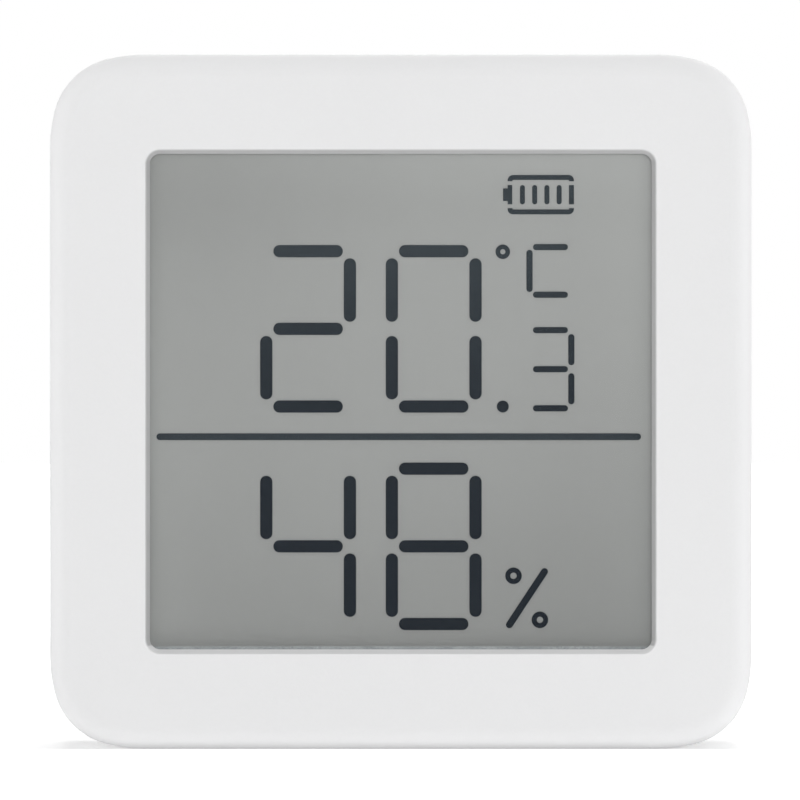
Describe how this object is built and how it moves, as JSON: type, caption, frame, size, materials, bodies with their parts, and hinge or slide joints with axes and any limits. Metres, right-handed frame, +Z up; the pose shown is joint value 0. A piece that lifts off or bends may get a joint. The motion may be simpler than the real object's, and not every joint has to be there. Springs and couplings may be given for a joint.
{
  "type": "temperature humidity sensor",
  "caption": "Square table or wall sensor with a reflective segment display in a recessed window, snap-off rear cover, keyhole, push button and fold-out stand leg.",
  "frame": {"origin": "middle of the base, on the surface it stands on", "axes": "+Z up, +X to the right as seen from the front, the display faces -Y"},
  "size_m": [0.055, 0.024, 0.0544],
  "materials": {
    "front_shell": "fine moulded satin",
    "display_gasket": "matte foam",
    "front_polarizer": "matte film",
    "front_glass": "clear",
    "display_segments": "dark",
    "edge_seal": "translucent",
    "rear_glass": "clear",
    "reflector": "brushed grey film",
    "display_holder": "moulded",
    "contact_strip": "matte",
    "main_board": "solder mask",
    "antenna": "plated copper",
    "radio_chip": "moulded epoxy",
    "driver_chip": "moulded epoxy",
    "crystal": "satin",
    "board_passives": "ceramic",
    "humidity_sensor": "moulded epoxy",
    "sensor_foam": "open foam",
    "board_screws": "zinc plated",
    "case_screws": "zinc plated",
    "battery_chassis": "moulded",
    "lower_cell": "nickel look",
    "upper_cell": "nickel look",
    "cell_jackets": "shrunk film",
    "positive_contact": "nickel plated",
    "negative_contact": "nickel plated",
    "bridge_contact": "nickel plated",
    "contact_springs": "nickel plated",
    "switch_body": "moulded",
    "switch_plunger": "moulded",
    "unit_button": "fine moulded satin",
    "rear_cover": "fine moulded satin",
    "stand_leg": "fine moulded satin"
  },
  "bodies": {
    "casing": {"front_shell": "front_shell", "display_gasket": "display_gasket", "front_polarizer": "front_polarizer", "front_glass": "front_glass", "display_segments": "display_segments", "edge_seal": "edge_seal", "rear_glass": "rear_glass", "reflector": "reflector", "display_holder": "display_holder", "contact_strip": "contact_strip", "main_board": "main_board", "antenna": "antenna", "radio_chip": "radio_chip", "driver_chip": "driver_chip", "crystal": "crystal", "board_passives": "board_passives", "humidity_sensor": "humidity_sensor", "sensor_foam": "sensor_foam", "board_screws": "board_screws", "case_screws": "case_screws", "battery_chassis": "battery_chassis", "lower_cell": "lower_cell", "upper_cell": "upper_cell", "cell_jackets": "cell_jackets", "positive_contact": "positive_contact", "negative_contact": "negative_contact", "bridge_contact": "bridge_contact", "contact_springs": "contact_springs", "switch_body": "switch_body"},
    "cover": {"rear_cover": "rear_cover"},
    "leg": {"stand_leg": "stand_leg"},
    "button": {"unit_button": "unit_button"},
    "plunger": {"switch_plunger": "switch_plunger"}
  },
  "joints": [
    {"name": "cover_slide", "type": "slide", "parent": "casing", "child": "cover", "axis": [0, 1, 0], "range_m": [0, 0.03]},
    {"name": "leg_hinge", "type": "hinge", "parent": "cover", "child": "leg", "pos_m": [0, 0.011, 0.036], "axis": [1, 0, 0], "range_deg": [0, 50]},
    {"name": "button_slide", "type": "slide", "parent": "casing", "child": "button", "axis": [0, -1, 0], "range_m": [0, 0.0005], "stiffness_N_per_m": 2000},
    {"name": "plunger_slide", "type": "slide", "parent": "casing", "child": "plunger", "axis": [0, -1, 0], "range_m": [0, 0.0005]}
  ],
  "couplings": [
    {"joint": "plunger_slide", "follows": "button_slide", "ratio": 1}
  ]
}
